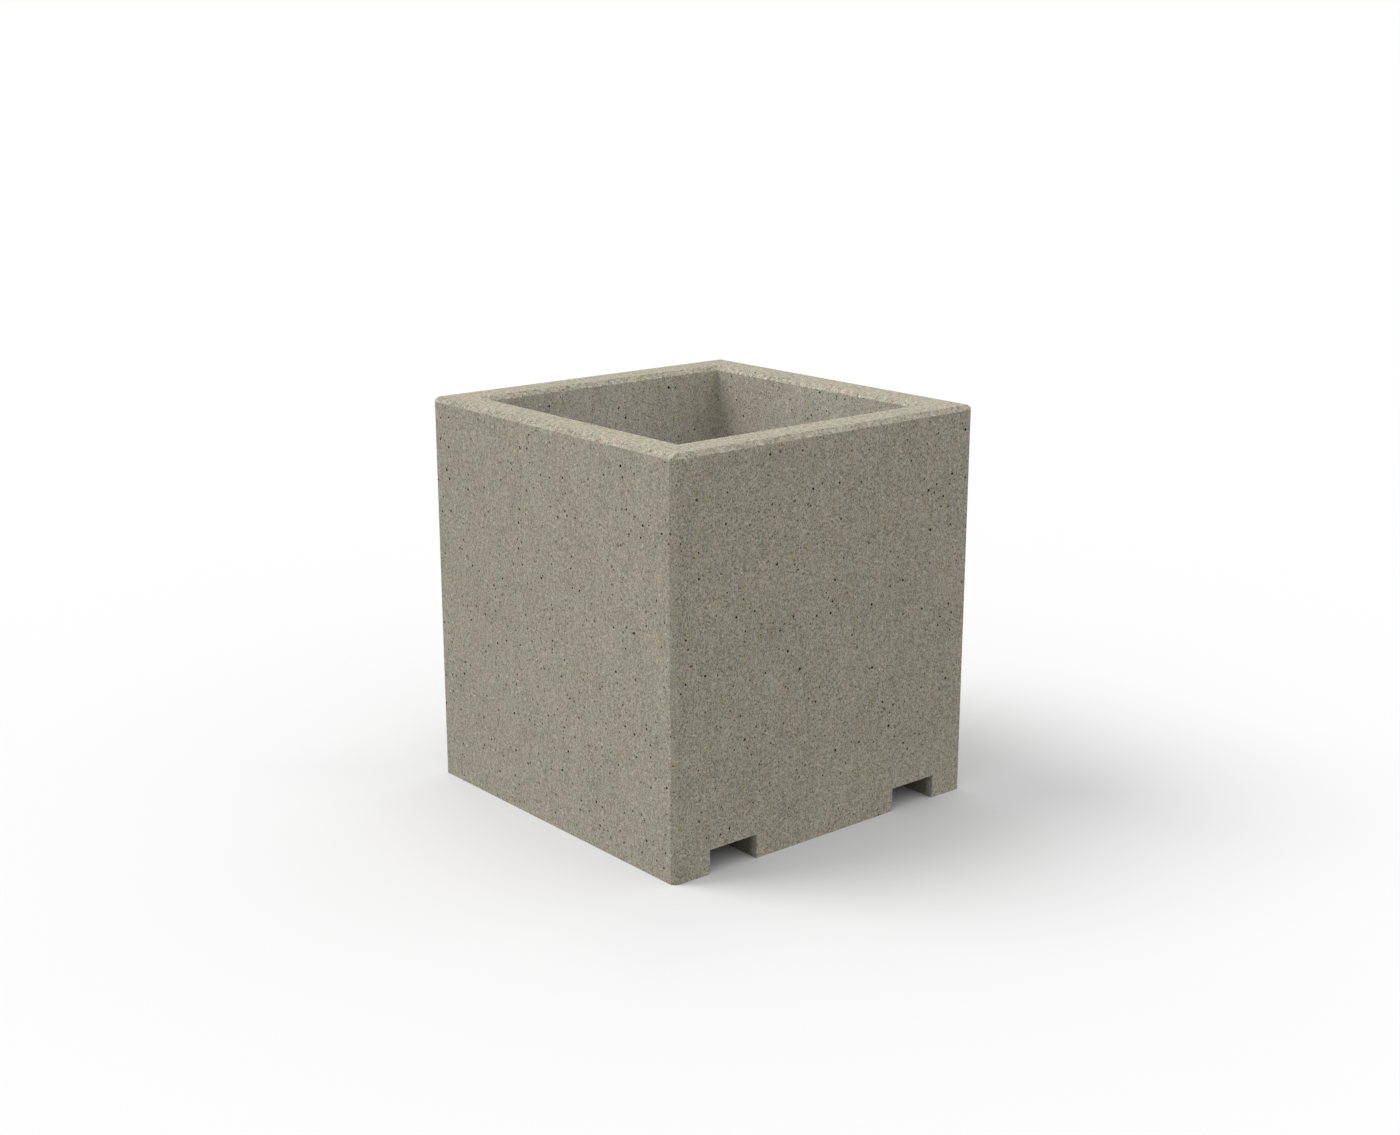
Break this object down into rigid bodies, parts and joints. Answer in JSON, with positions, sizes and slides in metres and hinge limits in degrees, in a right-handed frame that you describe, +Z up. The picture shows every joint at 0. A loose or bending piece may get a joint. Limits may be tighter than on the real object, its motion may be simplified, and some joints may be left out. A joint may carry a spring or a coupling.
{
  "type": "concrete barrier planter",
  "caption": "Open square concrete street planter, used as a traffic barrier: chamfered edges, thick walls, fork slots under it, a cast-in bar cage, drains and lifting inserts.",
  "frame": {"origin": "on the ground at the centre of the base", "axes": "+Z up, +Y towards the back along the fork slots, +X to the right across them; the front, with the slots' mouths, faces -Y"},
  "size_m": [1.016, 1.016, 1.0668],
  "materials": {
    "concrete": "matte",
    "bar_steel": "matte",
    "tie_wire": "satin",
    "pipe_plastic": "satin",
    "spacer_plastic": "matte",
    "zinc_steel": "satin"
  },
  "bodies": {
    "root": {"concrete_shell": "concrete", "floor_hoop": "bar_steel", "wall_hoop_1": "bar_steel", "wall_hoop_2": "bar_steel", "wall_hoop_3": "bar_steel", "wall_hoop_4": "bar_steel", "wall_hoop_5": "bar_steel", "rim_hoop": "bar_steel", "cross_u_bar_1": "bar_steel", "cross_u_bar_2": "bar_steel", "cross_u_bar_3": "bar_steel", "cross_u_bar_4": "bar_steel", "cross_u_bar_5": "bar_steel", "long_u_bar_1": "bar_steel", "long_u_bar_2": "bar_steel", "long_u_bar_3": "bar_steel", "long_u_bar_4": "bar_steel", "corner_bar_front_left": "bar_steel", "corner_bar_front_right": "bar_steel", "corner_bar_back_left": "bar_steel", "corner_bar_back_right": "bar_steel", "foot_bar_1": "bar_steel", "foot_bar_2": "bar_steel", "foot_bar_3": "bar_steel", "foot_bar_4": "bar_steel", "drain_sleeve_front_left": "pipe_plastic", "drain_sleeve_front_right": "pipe_plastic", "drain_sleeve_back_left": "pipe_plastic", "drain_sleeve_back_right": "pipe_plastic", "tie_wires": "tie_wire", "wheel_spacers": "spacer_plastic", "bar_chairs": "spacer_plastic", "insert_ferrules": "zinc_steel", "insert_loops": "zinc_steel"}
  },
  "joints": []
}
